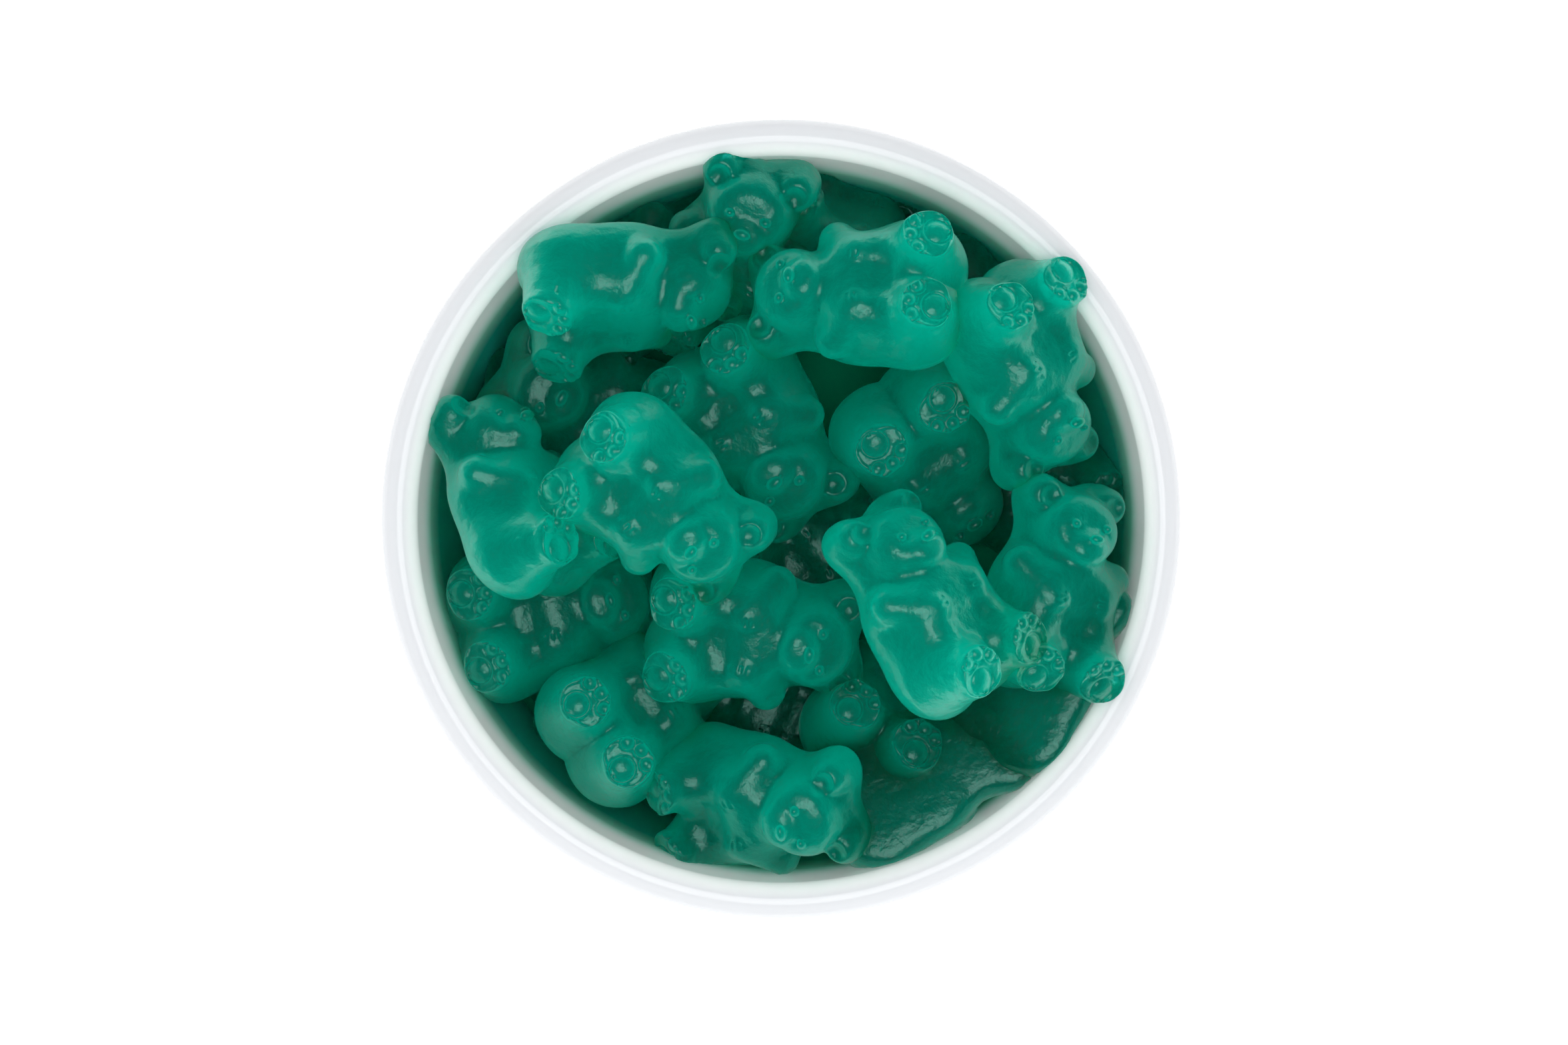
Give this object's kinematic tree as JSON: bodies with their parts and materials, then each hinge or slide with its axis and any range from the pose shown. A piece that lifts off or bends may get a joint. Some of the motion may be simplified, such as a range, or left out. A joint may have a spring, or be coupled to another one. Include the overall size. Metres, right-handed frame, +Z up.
{
  "type": "gummy bears in a bowl",
  "caption": "Small white porcelain bowl heaped above its rim with teal-green gelatin bear sweets.",
  "frame": {"origin": "centre of the bowl's foot ring, on the surface that it stands on", "axes": "+Z up, the bowl's turning axis; +X and +Y level, with no front of its own"},
  "size_m": [0.082, 0.082, 0.0543],
  "materials": {
    "porcelain": null,
    "gelatin": null
  },
  "bodies": {
    "root": {"bowl": "porcelain", "gummy_bears": "gelatin"}
  },
  "joints": []
}
